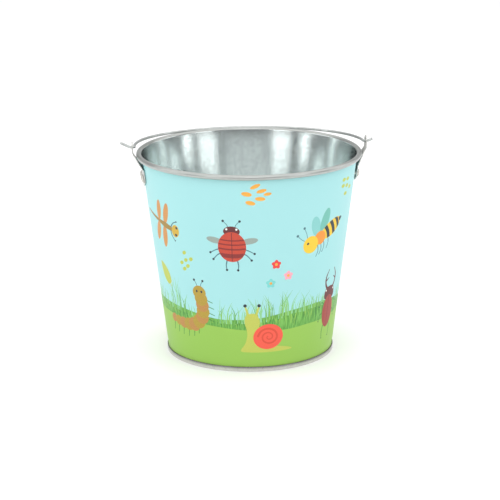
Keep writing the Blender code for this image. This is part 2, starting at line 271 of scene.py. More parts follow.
def tin_material(name, display, roughness, streak=0.05, grime=0.12, painted_shade=None):
    """Bare tin plate: rolling marks, faint spangle, soft waves, dull patches, and painted shade that darkens
    it from a height upward.
    """
    colour = srgb(*display)
    nodes = Nodes(name)
    rolled = nodes.noise(nodes.coordinates((9, 9, 900)), 1, 5, 0.6)
    brushed = nodes.noise(nodes.coordinates((260, 260, 16)), 1, 4, 0.6)
    spangle = nodes.noise(nodes.coordinates((300, 300, 340)), 1, 3, 0.6)
    patches = nodes.noise(nodes.coordinates((24, 24, 30)), 1, 5, 0.65)
    brushing = nodes.spread(brushed, 0.3, 0.7, 0, 1)
    streaked = nodes.mix(brushing, shade(colour, 1 - streak), shade(colour, 1 + streak))
    flecked = nodes.mix(nodes.spread(spangle, 0.4, 0.7, 0, 0.2), streaked, shade(colour, 0.72))
    dull = nodes.mix(nodes.spread(patches, 0.48, 0.75, 0, grime), flecked, shade(colour, 0.62))
    # Painted shade: the colour darkens from the low height up to the high one, standing in for the shadow
    # line along the top of the base's seam ring.
    if painted_shade is not None:
        low, high = painted_shade
        split = nodes.add("SeparateXYZ", {"Vector": nodes.coordinates()})
        rise = nodes.spread(split.outputs["Z"], low * MM, high * MM, 0, 0.85)
        dull = nodes.mix(rise, dull, shade(colour, 0.22))
    rough = nodes.spread(spangle, 0.3, 0.7, roughness - 0.03, roughness + 0.05)
    waves = nodes.noise(nodes.coordinates((26, 26, 3)), 1, 0)
    normal = nodes.bump(waves, 0.25, 0.0004)
    normal = nodes.bump(rolled, 0.05, 0.00003, normal)
    return nodes.finish({"Base Color": dull, "Roughness": rough, "Normal": normal, "Metallic": 1})


def wire_material(name, display, roughness):
    """Drawn or stamped steel with a dull zinc coat, worn bright in patches."""
    colour = srgb(*display)
    nodes = Nodes(name)
    coat = nodes.noise(nodes.coordinates(), 900, 4, 0.6)
    worn = nodes.noise(nodes.coordinates(), 120, 4, 0.65)
    mottled = nodes.mix(nodes.spread(coat, 0.35, 0.65, 0, 1), shade(colour, 0.82), shade(colour, 1.15))
    bright = nodes.mix(nodes.spread(worn, 0.5, 0.7, 0, 0.5), mottled, shade(colour, 1.5))
    rough = nodes.spread(worn, 0.3, 0.7, roughness + 0.08, roughness - 0.06)
    normal = nodes.bump(coat, 0.25, 0.00006)
    return nodes.finish({"Base Color": bright, "Roughness": rough, "Normal": normal, "Metallic": 1})


# ---------------- outlines for the print, in mm
def ellipse(x, y, half_width, half_height, turn=0):
    """Outline of an ellipse, turned by degrees."""
    count = max(10, int(7 * (half_width + half_height) ** 0.5))
    turned = radians(turn)
    points = []
    for angle in full_turn(count):
        across = half_width * cos(angle)
        along = half_height * sin(angle)
        points.append((x + across * cos(turned) - along * sin(turned),
                       y + across * sin(turned) + along * cos(turned)))
    return points


def curve_through(points, closed, steps=6):
    """Smooth (Catmull-Rom) path through points of any dimension."""
    spots = [Vector(point) for point in points]
    count = len(spots)
    path = []
    for index in range(count if closed else count - 1):
        if closed:
            a, b, c, d = (spots[(index + shift) % count] for shift in (-1, 0, 1, 2))
        else:
            b, c = spots[index], spots[index + 1]
            a = spots[index - 1] if index else b * 2 - c
            d = spots[index + 2] if index + 2 < count else c * 2 - b
        for step in range(steps):
            t = step / steps
            path.append((b * 2 + (c - a) * t + (a * 2 - b * 5 + c * 4 - d) * t * t
                         + (b * 3 - a - c * 3 + d) * t * t * t) / 2)
    if not closed:
        path.append(spots[-1])
    return path


def blob(points):
    """Closed smooth outline through points."""
    return [tuple(point) for point in curve_through(points, True)]


def stroke(points, steps=6):
    """Outline of a brush stroke through (x, y, width) points; its ends are round where it is wide."""
    path = curve_through(points, False, steps)
    last = len(path) - 1
    left, right, caps = [], [], {0: [], last: []}
    for index, spot in enumerate(path):
        before, after = path[max(index - 1, 0)], path[min(index + 1, last)]
        along = Vector((after.x - before.x, after.y - before.y)).normalized()
        across = Vector((-along.y, along.x)) * max(spot.z, 0.05) / 2
        left.append((spot.x + across.x, spot.y + across.y))
        right.append((spot.x - across.x, spot.y - across.y))
        if index in caps and spot.z > 0.5:
            reach = spot.z / 2 if index else -spot.z / 2
            caps[index] = [(spot.x + across.x * cos(t) + reach * along.x * sin(t),
                            spot.y + across.y * cos(t) + reach * along.y * sin(t))
                           for t in (pi / 4, pi / 2, 3 * pi / 4)]
    return left + caps[last] + right[::-1] + caps[0][::-1]


def twice_area(outline):
    """Signed area of an outline, doubled; positive when it runs anticlockwise."""
    return sum(a[0] * b[1] - b[0] * a[1] for a, b in zip(outline, outline[1:] + outline[:1]))


# ---------------- motifs: lists of (ink, outline)
def flower(ink):
    """Round-petalled flower with a straw-coloured middle."""
    petals, radius, depth = 5, 3.6, 0.28
    outline = []
    for angle in full_turn(petals * 8):
        reach = radius * (1 - depth * (0.5 - 0.5 * cos(petals * angle)) ** 1.4)
        outline.append((reach * sin(angle), reach * cos(angle)))
    return [(ink, outline), ("straw", ellipse(0, 0, radius * 0.3, radius * 0.3))]


def seeds():
    """A burst of slim seeds."""
    layout = [
        (0.4, 7.4, 3.9, 1.45, 24), (4.9, 3.9, 3.7, 1.4, 14), (-5.6, 1.7, 3.8, 1.7, -10),
        (9.2, 1.5, 2.9, 1.2, 8), (4, -1.9, 3.7, 1.5, -4), (-2.9, -4.9, 3.6, 1.6, -12),
    ]
    return [("straw", ellipse(*seed)) for seed in layout]


def pollen(layout, half_width, turn):
    return [("lime", ellipse(x, y, half_width, 1.45, turn)) for x, y in layout]


def leaf(size=1):
    body = [(0, 8), (3.4, 3.4), (4.4, -2.4), (2.4, -7.6), (-2, -7.6), (-3.8, -2), (-2.6, 4)]
    rib = [(0, 6, 0.3), (0.6, 0, 0.6), (0.3, -10.5, 0.5)]
    shapes = (("lime", blob(body)), ("pear", stroke(rib)))
    return [(ink, [(x * size, y * size) for x, y in outline]) for ink, outline in shapes]


def both_sides(ink, outline):
    """An outline and its mirror image across x = 0."""
    return [(ink, outline), (ink, [(-x, y) for x, y in reversed(outline)])]


def moved(shapes, x, y):
    return [(ink, [(across + x, up + y) for across, up in outline]) for ink, outline in shapes]


def feelers(reach, height):
    """A pair of knobbed feelers."""
    stem = stroke([(reach * 0.4, 0, 0.5), (reach * 0.55, height * 0.5, 0.45), (reach, height, 0.4)])
    return both_sides("slate", stem) + both_sides("soot", ellipse(reach, height, 0.95, 0.95))


def legs(ink, paths, foot=0.9):
    """Pairs of jointed legs, each from the body through a knee to a foot."""
    shapes = []
    for path in paths:
        shapes += both_sides(ink, stroke([(x, y, width) for (x, y), width in zip(path, (1, 0.75, 0.6))]))
        shapes += both_sides("soot", ellipse(*path[-1], foot, foot))
    return shapes


def body_band(ink, y, half_width, half_height, low, high, bow=0.8):
    """Band between two heights across an oval body centred at (0, y), its edges bowed downward."""
    rows = []
    for height in (low, high):
        half = 0.98 * half_width * (1 - ((height - y) / half_height) ** 2) ** 0.5
        rows.append([(share * half, height - bow * (1 - share * share)) for share in (-1, -0.5, 0, 0.5, 1)])
    return ink, rows[0] + rows[1][::-1]


def beetle():
    """Round striped beetle seen from above, wings half open."""
    shapes = both_sides("grey_wing", ellipse(12.6, 3, 6.2, 2.3, 10))
    shapes += legs("slate", (((7.6, -3), (11.6, -4.2), (16, -6.6)), ((7, -6), (10.6, -8), (13.8, -11.6)),
                             ((3.4, -10.5), (4.4, -15.5), (4, -19.2))))
    shapes += moved(feelers(6, 5.6), 0, 12.4)
    shapes.append(("maroon_dark", ellipse(0, 10.2, 6, 3.9)))
    shapes += both_sides("paper", ellipse(3.6, 11.8, 0.8, 0.8))
    shapes.append(("brick", ellipse(0, -1.6, 10.2, 11.4)))
    for low, high in ((-9.4, -6.2), (-3.4, -2.2), (0.2, 1.2), (3.4, 4.4)):
        shapes.append(body_band("brick_dark", -1.6, 10.2, 11.4, low, high))
    return shapes + [("maroon_dark", stroke([(0, 9.2, 0.5), (0, -12.4, 0.5)]))]


def bee():
    """Bee in side view with its tail up and its back to the left."""
    shapes = [("mint_wing", ellipse(-10.6, 9, 7.8, 4.2, -11)),
              ("mint_wing_dark", ellipse(-9.6, 18.2, 9.6, 4, -42))]
    for x, y in ((-12.4, -7.4), (-15, -0.6)):
        shapes.append(("slate", stroke([(-3.6, -1.6, 0.45), (x * 0.6, y * 0.7, 0.4), (x, y, 0.4)])))
        shapes.append(("slate", ellipse(x, y, 1, 1)))
    for y in (5.6, 8.8, 12, 17):
        shapes.append(("slate", stroke([(4, y, 0.7), (8.4, y - 1.2, 0.55), (11.6, y - 4.6, 0.5)])))
    shapes.append(("sun", ellipse(0, 22.4, 5.6, 12.4)))
    for low, high in ((15.6, 18.8), (22, 25.4), (28.4, 31.6)):
        shapes.append(body_band("soot", 22.4, 5.6, 12.4, low, high, -0.9))
    return shapes + [
        ("soot", blob([(-1.6, 33.6), (0, 37.4), (1.6, 33.6)])), ("orange", ellipse(0, 9.6, 5.2, 5.6)),
        ("sun", ellipse(0, 0.2, 6.5, 6.8)), ("soot", ellipse(-2, -1.8, 0.9, 1.1)),
    ]


def dragonfly():
    """Dragonfly seen from above, head up."""
    shapes = [("amber_dark", stroke([(0, -24, 1.1), (0, -12, 2), (0, 0, 3.2), (0, 7, 4), (0, 12, 3.4)]))]
    for y, reach, lean in ((4.6, 8.6, 5), (-4.4, 7.8, -5)):
        shapes += both_sides("amber", ellipse(reach + 0.6, y, reach, 3, lean))
    shapes += legs("slate", (((1, 11), (5, 13), (7.6, 16.4)),), 0.6)
    shapes += [("amber_dark", ellipse(0, 5, 2.2, 8)), ("honey", ellipse(0, 16, 4.8, 3.8))]
    return shapes + both_sides("soot", ellipse(2.8, 17, 1, 1.2))


def caterpillar():
    """Caterpillar of round segments with its front end raised."""
    line = [(-31, -5), (-20, -6.4), (-9, -5.4), (-1.4, 1.4), (-0.6, 11), (-2.4, 20.4)]
    spots = [(spot.x, spot.y) for spot in curve_through(line, False, 2)]
    shapes = [("blade_dark", stroke([(x, y - 3, 0.8), (x - 0.8, y - 9.6, 0.5)])) for x, y in spots[:6]]
    shapes += [("blade_dark", stroke([(x + 3, y, 0.7), (x + 9.4, y - 2.2, 0.5)])) for x, y in spots[6:10]]
    head_x, head_y = spots[-1]
    shapes += moved(feelers(3.6, 5.4), head_x, head_y + 4)
    for index, (x, y) in enumerate(spots):
        size = 3.4 + 0.5 * min(index, 4)
        shapes.append((("ochre_warm", "ochre")[index % 2], ellipse(x, y, size, size)))
    shapes.append(("ochre", ellipse(head_x, head_y, 5.6, 5.2)))
    return shapes + moved(both_sides("soot", ellipse(2, 0.8, 0.8, 1)), head_x, head_y)


def spiral(x, y, radius, turns):
    """Tapering spiral stroke, from its middle outward."""
    path = []
    count = int(turns * 12)
    for step in range(count + 1):
        share = step / count
        angle = 2 * pi * turns * share + 2.4
        reach = radius * (0.1 + 0.9 * share)
        path.append((x + reach * cos(angle), y + reach * 0.92 * sin(angle), 0.8 + 0.8 * share))
    return stroke(path, 2)


def snail():
    """Snail in side view, creeping left under a round shell."""
    shapes = []
    for x, tip in ((-3.4, -6.4), (0.8, 3.6)):
        shapes.append(("pear", stroke([(x, 3, 2.4), ((x + tip) / 2, 8, 1.6), (tip, 12.6, 1.3)])))
        shapes.append(("soot", ellipse(tip, 13.2, 1.3, 1.3)))
    foot = [(-5, 6.2), (1.2, 6.6), (4.2, 1), (3.8, -8), (9, -17), (25, -20.8), (27.5, -22.8),
            (12, -23.6), (-4, -23.4), (-9.4, -22.2), (-6, -16), (-4.8, -8), (-6.8, 0.6)]
    return shapes + [("pear", blob(foot)), ("coral", ellipse(10.4, -11.4, 11, 9.8, 12)),
                     ("coral_dark", spiral(10.6, -11.6, 7.8, 2.1))]


def stag_beetle():
    """Horned beetle seen from above."""
    shapes = legs("blade_dark", (((5.5, 6), (9.2, 8.4), (11.4, 5.4)), ((6, 0), (9.8, -1.2), (11, -6)),
                                 ((3.6, -8), (5.2, -14.5), (4.6, -20.4))), 0.5)
    horn = [(3, 17, 2.2), (6.2, 21.4, 1.7), (6.8, 27, 1.3), (3.8, 32.8, 0.6)]
    prong = [(6.4, 24.4, 1.2), (3.2, 26.6, 0.4)]
    for path in (horn, prong):
        shapes += both_sides("maroon_dark", stroke(path))
    head = [(-5.4, 10), (-6.8, 15), (-4, 19), (4, 19), (6.8, 15), (5.4, 10)]
    shapes += [("maroon_dark", blob(head)), *both_sides("paper", ellipse(5, 16.6, 0.7, 0.8))]
    return shapes + [("maroon", ellipse(0, 0, 7.2, 12.6)),
                     ("maroon_dark", stroke([(0, 12, 0.5), (0, 0, 0.45), (0, -12, 0.3)]))]


def grass_tuft(seed, blades, spread, height):
    """A fan of thin curved blades rising from the grass."""
    chance = random.Random(seed)
    shapes = []
    for _ in range(blades):
        x = chance.uniform(-spread, spread)
        tall = height * chance.uniform(0.35, 1)
        lean = chance.uniform(-0.5, 0.5) * tall
        ink = chance.choice(("blade_light", "blade_pale", "blade_pale", "grass_band"))
        width = chance.uniform(0.45, 0.85)
        shapes.append((ink, stroke([(x, -3, width), (x + lean * 0.2, tall * 0.45, width * 0.8),
                                    (x + lean, tall, 0.06)], 4)))
    return shapes


def grass_texture(seed, depth):
    """Short strokes standing in the dark band of grass."""
    chance = random.Random(seed)
    shapes = []
    for _ in range(7):
        x = chance.uniform(-4, 4)
        low = chance.uniform(-0.95, -0.55) * depth
        high = chance.uniform(-0.25, 0.12) * depth
        lean = chance.uniform(-0.35, 0.35) * (high - low)
        ink = chance.choice(("blade_light", "blade_dark", "blade_dark", "ground"))
        width = chance.uniform(0.3, 0.75)
        shapes.append((ink, stroke([(x, low, 0.1), (x + lean * 0.4, (low + high) / 2, width),
                                    (x + lean, high, 0.06)], 3)))
    return shapes


# ---------------- layout of the print round the bucket
# Degrees run from the lock seam at +X (0, and again at -360) past the front (-90) and the back (-270).
BAND_TOP = [(-360, 43), (-335, 41), (-310, 42.5), (-285, 46.5), (-262, 47), (-238, 43), (-215, 40.5),
            (-190, 43.5), (-169, 45.1), (-142, 43.6), (-118, 40.1), (-104, 40.2), (-87, 41.9),
            (-69, 45.6), (-46, 47.2), (-18, 44.2), (0, 43)]
BAND_LOW = [(-360, 34.5), (-330, 33), (-300, 31.6), (-270, 32.6), (-240, 34), (-210, 36), (-185, 37.2),
            (-165, 36.7), (-140, 35.4), (-119, 34), (-101, 32.4), (-74, 31.2), (-57, 32.4), (-44, 32.6),
            (-19, 34.2), (0, 34.5)]


def band_edge(points):
    return [(spot.x, spot.y) for spot in curve_through(points, False)]


TOP_EDGE = band_edge(BAND_TOP)
LOW_EDGE = band_edge(BAND_LOW)


def edge_height(edge, degrees):
    """Height of a band edge at an angle round the bucket."""
    index = min(max(bisect_right([spot[0] for spot in edge], degrees), 1), len(edge) - 1)
    (left, low), (right, high) = edge[index - 1], edge[index]
    return low + (high - low) * (degrees - left) / (right - left)


def motifs():
    """(degrees, height, turn, shapes) of every motif, in painting order."""
    dots = ((-2.3, 7.5), (3.4, 3.4), (-1.4, 2), (-5.6, -0.6), (0, -2.4), (-3.4, -5))
    cluster = ((-5, 5.2), (1.4, 4.8), (-5.2, 0.6), (1.2, -0.2), (7.6, -2.4), (0, -6))
    layout = []
    tufts = [(-176, 9, 8, 12), (-166, 8, 8, 9), (-151, 7, 6, 24), (-143, 5, 3, 19), (-133, 4, 5, 9),
             (-112, 12, 8, 17), (-100, 8, 6, 16), (-90, 10, 6, 16), (-80, 10, 7, 16), (-72, 10, 6, 17),
             (-64, 9, 6, 13), (-54, 8, 6, 9), (-44, 7, 5, 8), (-24, 8, 6, 10), (-14, 6, 4, 12)]
    tufts += [(-196, 8, 7, 12), (-210, 10, 7, 17), (-222, 8, 6, 15), (-236, 7, 6, 10), (-250, 8, 7, 12),
              (-262, 9, 7, 17), (-274, 9, 6, 15), (-288, 8, 7, 10), (-300, 9, 7, 14), (-314, 8, 6, 18),
              (-328, 9, 7, 14), (-344, 8, 6, 12)]
    for degrees in range(-352, -4, 6):
        top = edge_height(TOP_EDGE, degrees)
        layout.append((degrees, top, 0, grass_texture(degrees, top - edge_height(LOW_EDGE, degrees))))
    for index, (degrees, blades, spread, height) in enumerate(tufts):
        top = edge_height(TOP_EDGE, degrees)
        layout.append((degrees, top, 0, grass_tuft(index, int(blades * 1.4), spread, height)))
    layout += [
        (-93.2, 134, 0, seeds()),
        (-134.8, 80, 0, pollen(dots, 1.9, 30)),
        (-31, 131, 0, pollen(cluster, 2.7, -4)),
        (-158, 67.2, 34, leaf(1.15)),
        (-154.2, 106, -103, dragonfly()),
        (-105.8, 97.6, 0, beetle()),
        (-58.9, 93.6, -66, bee()),
        (-126.2, 38.4, 0, caterpillar()),
        (-93.4, 38.2, 0, snail()),
        (-36.2, 37.2, 0, stag_beetle()),
    ]
    # The side that faces away repeats the same creatures in another order.
    layout += [
        (-270, 130, 0, seeds()),
        (-236, 118, 0, pollen(dots, 1.9, 30)),
        (-318, 120, 0, pollen(cluster, 2.7, 6)),
        (-208, 70, -20, leaf()),
        (-222, 96, -54, bee()),
        (-283, 98, -6, beetle()),
        (-330, 95, -100, dragonfly()),
        (-230, 38, 0, snail()),
        (-262, 38.5, 0, stag_beetle()),
        (-300, 37, 0, caterpillar()),
    ]
    flowers = [(-80.4, 82.2, "poppy"), (-72.7, 72.9, "rose"), (-83.4, 68, "lagoon"), (-256, 82, "rose"),
               (-246, 73, "poppy"), (-302, 74, "lagoon"), (-310, 84, "poppy")]
    return layout + [(degrees, height, 0, flower(ink)) for degrees, height, ink in flowers]


# ---------------- the printed surface
def flat_point(degrees, height, x, y):
    """Sheet coordinates of a point that is x, y millimetres from a place on the wall."""
    level = height + y * cos(TILT)
    return Vector(((radians(degrees) + x / wall_radius(level)) * SHEET_RADIUS, level))


def from_seam(angle):
    """Angle between a place on the wall and the middle of the lock seam."""
    return abs((angle + pi) % (2 * pi) - pi)


def lock_rise(angle, height):
    """How far the lock seam's strip stands off the wall."""
    across = from_seam(angle) * wall_radius(height)
    side = min(max((LOCK_HALF_WIDTH - across) / LOCK_EDGE, 0), 1)
    end = min(max(min(height - LOCK_LOW, LOCK_HIGH - height) / LOCK_EDGE, 0), 1)
    rise = min(side, end)
    return LOCK_THICKNESS * rise * rise * (3 - 2 * rise)


def wall_point(angle, height):
    return swung(wall_radius(height) + lock_rise(angle, height), height, angle) * MM


def wall_normal(angle, height):
    step = 0.05
    swing = step / SHEET_RADIUS
    around = wall_point(angle + swing, height) - wall_point(angle - swing, height)
    along = wall_point(angle, height + step) - wall_point(angle, height - step)
    return around.cross(along).normalized()


def column_angles():
    """Angles of the wall's columns: even steps, with more at the lock seam's edges."""
    angles = [-2 * pi * (1 - step / COLUMNS) for step in range(COLUMNS + 1)]
    edges = []
    for share in (0, 0.33, 0.67, 1):
        swing = (LOCK_HALF_WIDTH - LOCK_EDGE * share) / SHEET_RADIUS
        edges += [-swing, swing - 2 * pi]
    close = [angle for angle in angles if all(abs(angle - edge) > 0.008 for edge in edges)]
    return sorted(close + edges)


def sheet_paths(columns, heights):
    """Lines that the sheet's triangles keep to: its border, the lock seam and the bands of grass."""

    def level_path(level, angles):
        return [Vector((angle * SHEET_RADIUS, level)) for angle in angles]

    lock = [angle for angle in columns if from_seam(angle) * SHEET_RADIUS < LOCK_HALF_WIDTH + 0.01]
    paths = [level_path(heights[0], columns), level_path(heights[-1], columns)]
    # The sheet's two ends are among the lock seam's columns.
    paths += [[Vector((angle * SHEET_RADIUS, level)) for level in heights] for angle in lock]
    for end in (LOCK_LOW, LOCK_LOW + LOCK_EDGE, LOCK_HIGH - LOCK_EDGE, LOCK_HIGH):
        paths.append(level_path(end, [angle for angle in lock if angle > -pi]))
        paths.append(level_path(end, [angle for angle in lock if angle < -pi]))
    for edge in (TOP_EDGE, LOW_EDGE):
        paths.append([Vector((radians(degrees) * SHEET_RADIUS, level)) for degrees, level in edge])
    return paths


def sheet_grid(heights):
    """Staggered points that keep the plain part's triangles small."""
    points = []
    for row, level in enumerate(heights[1:-1]):
        for column in range(0, COLUMNS, 2):
            angle = -2 * pi * (1 - (column + 0.7 + 0.5 * (row % 2)) / COLUMNS)
            points.append(Vector((angle * SHEET_RADIUS, level)))
    return points


def background_ink(spot):
    """Ink of the sheet where no motif covers it."""
    degrees = spot.x / SHEET_RADIUS * 180 / pi
    if spot.y > edge_height(TOP_EDGE, degrees):
        return "sky"
    return "grass_band" if spot.y > edge_height(LOW_EDGE, degrees) else "ground"


def printed_sheet(columns):
    """Triangles of the flat printed sheet: points, faces and the ink of each face."""
    points, edges, outlines, inks = [], [], [], []
    rows = int((WALL_TOP - WALL_BOTTOM) / GRID)
    heights = [WALL_BOTTOM + (WALL_TOP - WALL_BOTTOM) * row / rows for row in range(rows + 1)]
    for path in sheet_paths(columns, heights):
        first = len(points)
        points += path
        edges += [(index, index + 1) for index in range(first, len(points) - 1)]
    points += sheet_grid(heights)
    for degrees, height, turn, shapes in motifs():
        spin = Matrix.Rotation(radians(turn), 2)
        for ink, outline in shapes:
            first = len(points)
            points += [flat_point(degrees, height, *(spin @ Vector(spot))) for spot in outline]
            loop = list(range(first, len(points)))
            if twice_area(points[first:]) < 0:
                loop.reverse()
            outlines.append(loop)
            inks.append(ink)
    flat, _, faces, _, _, origins = delaunay_2d_cdt(points, edges, outlines, 0, 1e-4)
    names = []
    for face, origin in zip(faces, origins):
        middle = sum((flat[index] for index in face), Vector((0, 0))) / len(face)
        names.append(inks[max(origin)] if origin else background_ink(middle))
    return flat, faces, names


def arc_points(x, z, radius, start, end, steps):
    angles = [start + (end - start) * step / steps for step in range(steps + 1)]
    return [Vector((x + radius * cos(angle), z + radius * sin(angle))) for angle in angles]


def bare_section():
    """Section of the unprinted part of the wall: round the rolled rim, then down the inside to the foot."""
    start = pi - TILT
    inner = BEAD_RADIUS - SHEET
    top = Vector((wall_radius(WALL_TOP), WALL_TOP))
    foot = Vector((wall_radius(WALL_BOTTOM) - SHEET / cos(TILT), WALL_BOTTOM))
    back = arc_points(BEAD_X, BEAD_Z, inner, start, BEAD_END, BEAD_INSIDE_STEPS)[1:]
    over = arc_points(BEAD_X, BEAD_Z, BEAD_RADIUS, BEAD_END, start, BEAD_STEPS)
    inside = [over[-1].lerp(foot, step / 40) for step in range(1, 41)]
    return [top, *back, *over, *inside, Vector((wall_radius(WALL_BOTTOM), WALL_BOTTOM))]


def build_wall():
    """The whole body sheet as one closed mesh: the print outside, bare tin elsewhere."""
    columns = column_angles()
    flat, faces, names = printed_sheet(columns)
    vertices = [wall_point(spot.x / SHEET_RADIUS, spot.y) for spot in flat]
    normals = [wall_normal(spot.x / SHEET_RADIUS, spot.y) for spot in flat]
    sheet = [(spot.x, spot.y) for spot in flat]
    section = bare_section()
    first = len(vertices)
    count = len(section)
    for angle in columns:
        for index, spot in enumerate(section):
            before = section[max(index - 1, 0)]
            after = section[min(index + 1, count - 1)]
            along = (after - before).normalized()
            vertices.append(swung(*spot, angle) * MM)
            normals.append(swung(along.y, -along.x, angle))
            sheet.append((angle * SHEET_RADIUS, spot.y))
    faces = [tuple(face) for face in faces]
    for column in range(len(columns) - 1):
        for index in range(count - 1):
            low = first + column * count + index
            faces.append((low, low + 1, low + count + 1, low + count))
            names.append("rim" if index < BEAD_INSIDE_STEPS + BEAD_STEPS else "bare")
    return vertices, faces, names, normals, sheet


def place_piece(mesh, body, node):
    """The piece of a mesh, named like it, which stands for a CAD node and rides on its body."""
    piece = bpy.data.objects.new(mesh.name, mesh)
    scene.collection.objects.link(piece)
    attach(piece, body)
    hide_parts(node)


def make_wall():
    """The wall as a mesh with its inks, its sheet coordinates and the true surface's normals."""
    vertices, faces, names, normals, sheet = build_wall()
    mesh = bpy.data.meshes.new("bucket_wall")
    mesh.from_pydata(vertices, [], faces)
    slots = ["bare", "rim"] + sorted(set(names) - {"bare", "rim"})
    mesh.materials.append(tin_material("inside_tin", (232, 239, 238), 0.14))
    # The rolled rim is the same tin sheet as the inside but drawn much darker: painted shade.
    mesh.materials.append(tin_material("rim_tin_shaded", (176, 179, 176), 0.32, 0.02, 0.06))
    for name in slots[2:]:
        mesh.materials.append(ink_material(name))
    for polygon, name in zip(mesh.polygons, names):
        polygon.material_index = slots.index(name)
        polygon.use_smooth = True
    layer = mesh.uv_layers.new(name="sheet")
    for loop in mesh.loops:
        layer.data[loop.index].uv = sheet[loop.vertex_index]
    stored = mesh.attributes.new("analytic_normal", "FLOAT_VECTOR", "POINT")
    for index, normal in enumerate(normals):
        stored.data[index].vector = normal
    shape = bmesh.new()
    shape.from_mesh(mesh)
    bmesh.ops.remove_doubles(shape, verts=shape.verts[:], dist=0.0004 * MM)
    bmesh.ops.dissolve_degenerate(shape, edges=shape.edges[:], dist=0.0004 * MM)
    bmesh.ops.recalc_face_normals(shape, faces=shape.faces[:])
    shape.to_mesh(mesh)
    shape.free()
    analytic = [Vector(item.vector) for item in mesh.attributes["analytic_normal"].data]
    mesh.normals_split_custom_set_from_vertices(analytic)
    mesh.attributes.remove(mesh.attributes["analytic_normal"])
    place_piece(mesh, "bucket", "body_wall")


# ---------------- metal pieces
def add_piece(name, body, node, vertices, faces, material):
    """A closed, smooth-shaded piece from points in millimetres, sharp where faces meet steeply."""
    mesh = bpy.data.meshes.new(name)
    mesh.from_pydata([Vector(point) * MM for point in vertices], [], faces)
    mesh.materials.append(material)
    shape = bmesh.new()
    shape.from_mesh(mesh)
    bmesh.ops.remove_doubles(shape, verts=shape.verts[:], dist=0.001 * MM)
    bmesh.ops.delete(shape, geom=[vert for vert in shape.verts if not vert.link_faces], context="VERTS")
    bmesh.ops.recalc_face_normals(shape, faces=shape.faces[:])
    for face in shape.faces:
        face.smooth = True
    for edge in shape.edges:
        edge.smooth = edge.calc_face_angle(0) < radians(38)
    shape.to_mesh(mesh)
    shape.free()
    place_piece(mesh, body, node)


def rounded(corners, steps):
    """Path through corners, (x, y, radius) or (x, y, z, radius), with an arc of that radius at each."""
    spots = [Vector(corner[:-1]) for corner in corners]
    path = []
    for index, corner in enumerate(spots):
        radius = corners[index][-1]
        if radius == 0:
            path.append(corner)
            continue
        back = (spots[index - 1] - corner).normalized()
        ahead = (spots[(index + 1) % len(spots)] - corner).normalized()
        half_angle = back.angle(ahead) / 2
        centre = corner + (back + ahead).normalized() * radius / sin(half_angle)
        start = corner + back * radius / tan(half_angle) - centre
        end = corner + ahead * radius / tan(half_angle) - centre
        turn = start.angle(end)
        for step in range(steps + 1):
            done = turn * step / steps
            path.append(centre + (start * sin(turn - done) + end * sin(done)) / sin(turn))
    return path


def ring_faces(first, rings, size):
    """Faces between closed rings of points that follow one another."""
    faces = []
    for here in range(first, first + (rings - 1) * size, size):
        for step in range(size):
            after = (step + 1) % size
            faces.append((here + step, here + after, here + size + after, here + size + step))
    return faces


def turned(section, steps):
    """Closed mesh of a section, (radius, height) from axis to axis, turned round the Z axis."""
    vertices = [Vector((0, 0, section[0].y)), Vector((0, 0, section[-1].y))]
    inner = section[1:-1]
    count = len(inner)
    for angle in full_turn(steps):
        vertices += [swung(*spot, angle) for spot in inner]
    faces = []
    for step in range(steps):
        here = 2 + step * count
        there = 2 + (step + 1) % steps * count
        faces.append((0, here, there))
        faces.append((1, there + count - 1, here + count - 1))
        faces += [(here + i, here + i + 1, there + i + 1, there + i) for i in range(count - 1)]
    return vertices, faces


def base_section():
    """Section of the base: the recessed disc with its rib, and the channel that grips the wall."""
    top = BASE_RECESS + SHEET
    hem_inside = wall_radius(WALL_BOTTOM) - SHEET / cos(TILT) - GAP
    half_rib = RIB_WIDTH / 2
    ramp = RIB_WIDTH / 5
    ring = [(RIB_RADIUS - half_rib, 0), (RIB_RADIUS - half_rib + ramp, RIB_HEIGHT),
            (RIB_RADIUS + half_rib - ramp, RIB_HEIGHT), (RIB_RADIUS + half_rib, 0)]
    lip_inside = FOOT_RADIUS - SEAM_SHEET
    corners = [(0, top, 0)] + [(radius, top + rise, 1.2) for radius, rise in ring]
    corners += [
        (hem_inside, top, 0.3), (hem_inside, SEAM_SHEET, 0.1), (lip_inside, SEAM_SHEET, 0.1),
        (lip_inside, SEAM_HEIGHT, 0.03), (FOOT_RADIUS, SEAM_HEIGHT, 0.38), (FOOT_RADIUS, 0, 0.3),
        (hem_inside - SEAM_SHEET, 0, 0.3), (hem_inside - SEAM_SHEET, BASE_RECESS, 0.1),
    ]
    corners += [(radius, BASE_RECESS + rise, 1.2) for radius, rise in reversed(ring)]
    corners.append((0, BASE_RECESS, 0))
    return rounded(corners, steps=5)


def make_base():
    vertices, faces = turned(base_section(), steps=COLUMNS // 2)
    # The base tin is drawn darker towards the top of its seam ring: painted shade.
    add_piece("bucket_base", "bucket", "base_disc", vertices, faces,
              tin_material("base_tin", (204, 201, 199), 0.24, painted_shade=(1.6, 3.3)))


def ear_sheet(lift):
    """Middle of an ear's sheet, (radius, height): up the wall, out past the rim, then upright."""
    offset = GAP + EAR_SHEET / 2 + lift
    tab = EAR_TAB_REACH + lift
    low, lip = EAR_BOTTOM - 1, EAR_BOTTOM + EAR_LIP_HEIGHT
    corners = [
        (wall_radius(low) + offset + EAR_LIP, low, 0), (wall_radius(lip) + offset, lip, 3),
        (wall_radius(EAR_BEND) + offset, EAR_BEND, 4), (tab, EAR_SHOULDER, 4), (tab, PIVOT_HEIGHT + 6, 0),
    ]
    return rounded(corners, steps=10)


